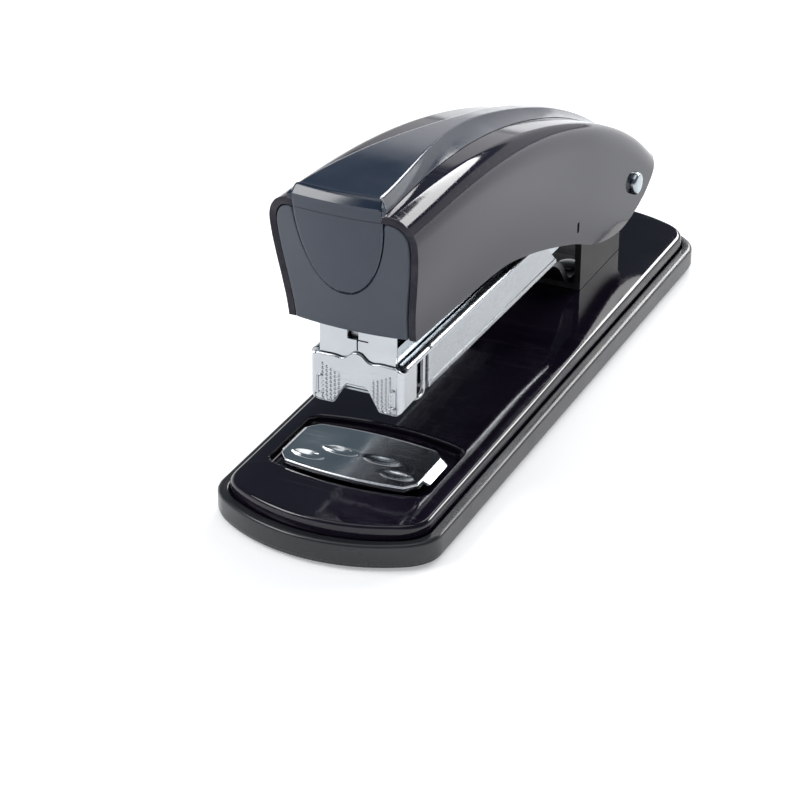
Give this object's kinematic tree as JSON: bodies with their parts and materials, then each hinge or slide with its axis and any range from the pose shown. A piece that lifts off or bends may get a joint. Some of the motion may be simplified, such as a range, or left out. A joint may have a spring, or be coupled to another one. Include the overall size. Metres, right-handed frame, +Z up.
{
  "type": "long reach stapler",
  "caption": "Metal desk stapler with a deep throat: black base, sprung magazine with a bright nose, sliding anvil and a hinged handle that presses and opens for loading.",
  "frame": {"origin": "on the desk surface, under the middle of the base", "axes": "+X to the right seen from the nose end, +Y from the nose to the hinge, +Z up"},
  "size_m": [0.05, 0.17, 0.0732],
  "materials": {
    "base_enamel": "deep gloss black stove enamel on pressed steel",
    "bracket_enamel": "satin black enamel on folded steel",
    "handle_enamel": "gloss black lacquer on pressed steel",
    "cap_plastic": "fine matte blue-grey moulded plastic",
    "inlay_plastic": "satin black moulded plastic",
    "tray_plastic": "satin black moulded plastic",
    "foot_rubber": "matte black rubber",
    "nose_chrome": "bright chromed casting, slightly soft",
    "anvil_chrome": "mirror chromed steel",
    "polished_steel": "bright nickel-plated steel",
    "cast_zinc": "satin light grey metal",
    "zinc_plated_steel": "zinc-plated steel",
    "spring_steel": "bright drawn spring wire",
    "blackened_spring": "blackened spring steel",
    "staple_steel": "glued strip of galvanised wire staples",
    "blade_steel": "ground hardened steel",
    "pusher_plastic": "black moulded plastic"
  },
  "bodies": {
    "base": {"base_plate": "base_enamel", "base_tray": "tray_plastic", "foot_front_left": "foot_rubber", "foot_front_right": "foot_rubber", "foot_rear_left": "foot_rubber", "foot_rear_right": "foot_rubber", "rear_bracket": "bracket_enamel", "bracket_rivet_1": "zinc_plated_steel", "bracket_rivet_2": "zinc_plated_steel", "bracket_rivet_3": "zinc_plated_steel", "bracket_rivet_4": "zinc_plated_steel", "pivot_pin": "polished_steel", "lift_spring": "blackened_spring"},
    "magazine": {"magazine_channel": "cast_zinc", "magazine_core": "polished_steel", "front_plate": "nose_chrome", "nose_piece": "nose_chrome", "nose_wire": "spring_steel", "staple_rail": "zinc_plated_steel", "guide_rod": "zinc_plated_steel", "staple_strip": "staple_steel", "handle_spring": "spring_steel", "pusher_spring": "spring_steel"},
    "pusher": {"pusher": "pusher_plastic"},
    "handle": {"handle_shell": "handle_enamel", "front_cap": "cap_plastic", "top_inlay": "inlay_plastic", "spring_cup": "pusher_plastic", "driver_blade": "blade_steel", "driver_bracket": "zinc_plated_steel", "driver_rivet_left": "zinc_plated_steel", "driver_rivet_right": "zinc_plated_steel"},
    "anvil": {"anvil_plate": "anvil_chrome", "anvil_stud": "zinc_plated_steel", "anvil_spring": "spring_steel"}
  },
  "joints": [
    {"name": "magazine_press", "type": "hinge", "parent": "base", "child": "magazine", "pos_m": [0, 0.061, 0.026], "axis": [1, 0, 0], "range_deg": [0, 5.25], "stiffness_Nm_per_rad": 6, "springref_deg": -3.44, "deforming": ["lift_spring"]},
    {"name": "handle_hinge", "type": "hinge", "parent": "magazine", "child": "handle", "pos_m": [0, 0.061, 0.026], "axis": [1, 0, 0], "range_deg": [-60, 4.25], "stiffness_Nm_per_rad": 4, "springref_deg": -1.43, "deforming": ["handle_spring"]},
    {"name": "pusher_slide", "type": "slide", "parent": "magazine", "child": "pusher", "axis": [0, 0.9998, -0.0209], "range_m": [0, 0.028], "stiffness_N_per_m": 40, "springref_m": -0.02, "deforming": ["pusher_spring"]},
    {"name": "anvil_slide", "type": "slide", "parent": "base", "child": "anvil", "axis": [0, 1, 0], "range_m": [0, 0.0041]}
  ]
}
